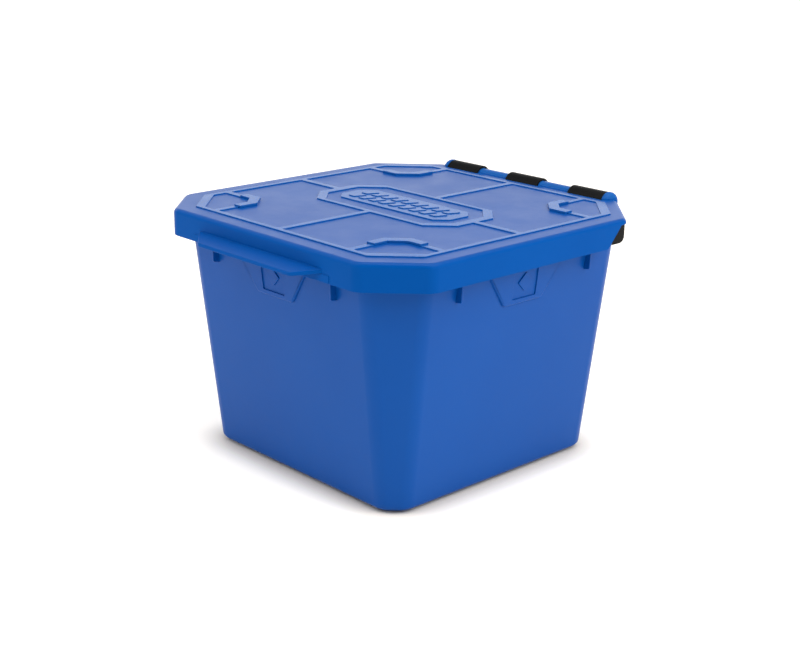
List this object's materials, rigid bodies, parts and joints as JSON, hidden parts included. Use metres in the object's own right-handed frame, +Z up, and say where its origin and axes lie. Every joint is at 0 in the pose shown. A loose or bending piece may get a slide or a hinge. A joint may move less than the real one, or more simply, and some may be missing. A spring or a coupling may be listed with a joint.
{
  "type": "lidded storage tub",
  "caption": "Square moulded plastic tub with cut corners, a hinged overlapping lid with a front finger lip, and a dark hinge bracket across the back; carries and keeps loose contents.",
  "frame": {"origin": "middle of the base, on the surface the tub stands on", "axes": "+Z up, -Y towards the finger lip at the front, +Y towards the hinge, +X to the tub's right"},
  "size_m": [0.35, 0.386, 0.2468],
  "materials": {
    "tub_plastic": "satin, self-coloured polypropylene",
    "lid_plastic": "satin, self-coloured polypropylene",
    "hinge_plastic": "satin, self-coloured nylon",
    "screw_steel": "bright zinc plate"
  },
  "bodies": {
    "tub_body": {"tub": "tub_plastic", "hinge_bracket": "hinge_plastic", "hinge_screws": "screw_steel"},
    "lid_body": {"lid": "lid_plastic"}
  },
  "joints": [
    {"name": "lid_hinge", "type": "hinge", "parent": "tub_body", "child": "lid_body", "pos_m": [0, 0.1755, 0.236], "axis": [-1, 0, 0], "range_deg": [0, 210]}
  ]
}
